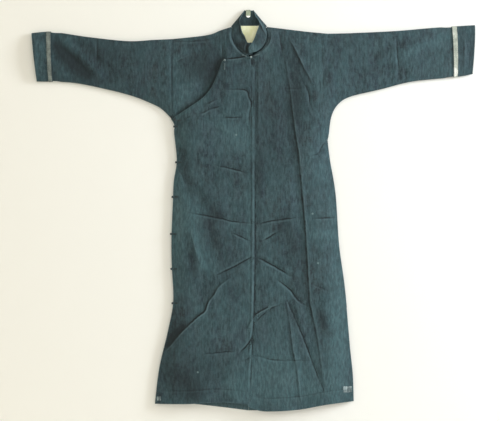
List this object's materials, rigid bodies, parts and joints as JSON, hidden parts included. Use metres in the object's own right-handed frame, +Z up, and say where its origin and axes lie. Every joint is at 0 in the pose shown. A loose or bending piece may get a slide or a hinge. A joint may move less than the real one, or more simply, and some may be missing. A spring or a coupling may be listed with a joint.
{
  "type": "changshan robe on a wall hook",
  "caption": "Long side-fastened robe of dark homespun cotton with a standing collar, wide cuffs and knotted buttons, hung flat on a wall hook.",
  "frame": {"origin": "on the back face of the hook's plate, where it lies on the wall", "axes": "+X towards the wearer's left sleeve, +Y into the wall, +Z up"},
  "size_m": [1.5004, 0.0379, 1.3572],
  "materials": {
    "homespun_cloth": "matt hand-woven cotton, blue-green black, worn and streaked along the warp",
    "knot_cloth": "matt cotton cord knotted from the robe's cloth",
    "neck_facing": "undyed cream cotton",
    "cuff_tape": "worn grey-green woven tape",
    "hem_tab": "pale bluish cotton scrap",
    "hook_metal": "satin grey-green strip with a bright worn tip"
  },
  "bodies": {
    "root": {"left_half": "homespun_cloth", "right_half": "homespun_cloth", "outer_front": "homespun_cloth", "left_sleeve": "homespun_cloth", "right_sleeve": "homespun_cloth", "left_cuff": "homespun_cloth", "right_cuff": "homespun_cloth", "collar": "homespun_cloth", "left_cuff_tape": "cuff_tape", "right_cuff_tape": "cuff_tape", "neck_facing": "neck_facing", "right_hem_tab": "hem_tab", "left_hem_tab": "hem_tab", "wall_hook": "hook_metal", "neck_knot": "knot_cloth", "neck_loop": "knot_cloth", "corner_knot": "knot_cloth", "corner_loop": "knot_cloth", "underarm_knot": "knot_cloth", "underarm_loop": "knot_cloth", "side_1_knot": "knot_cloth", "side_1_loop": "knot_cloth", "side_2_knot": "knot_cloth", "side_2_loop": "knot_cloth", "side_3_knot": "knot_cloth", "side_3_loop": "knot_cloth", "side_4_knot": "knot_cloth", "side_4_loop": "knot_cloth", "side_5_knot": "knot_cloth", "side_5_loop": "knot_cloth", "side_6_knot": "knot_cloth", "side_6_loop": "knot_cloth", "neck_knot_leg": "knot_cloth"}
  },
  "joints": []
}
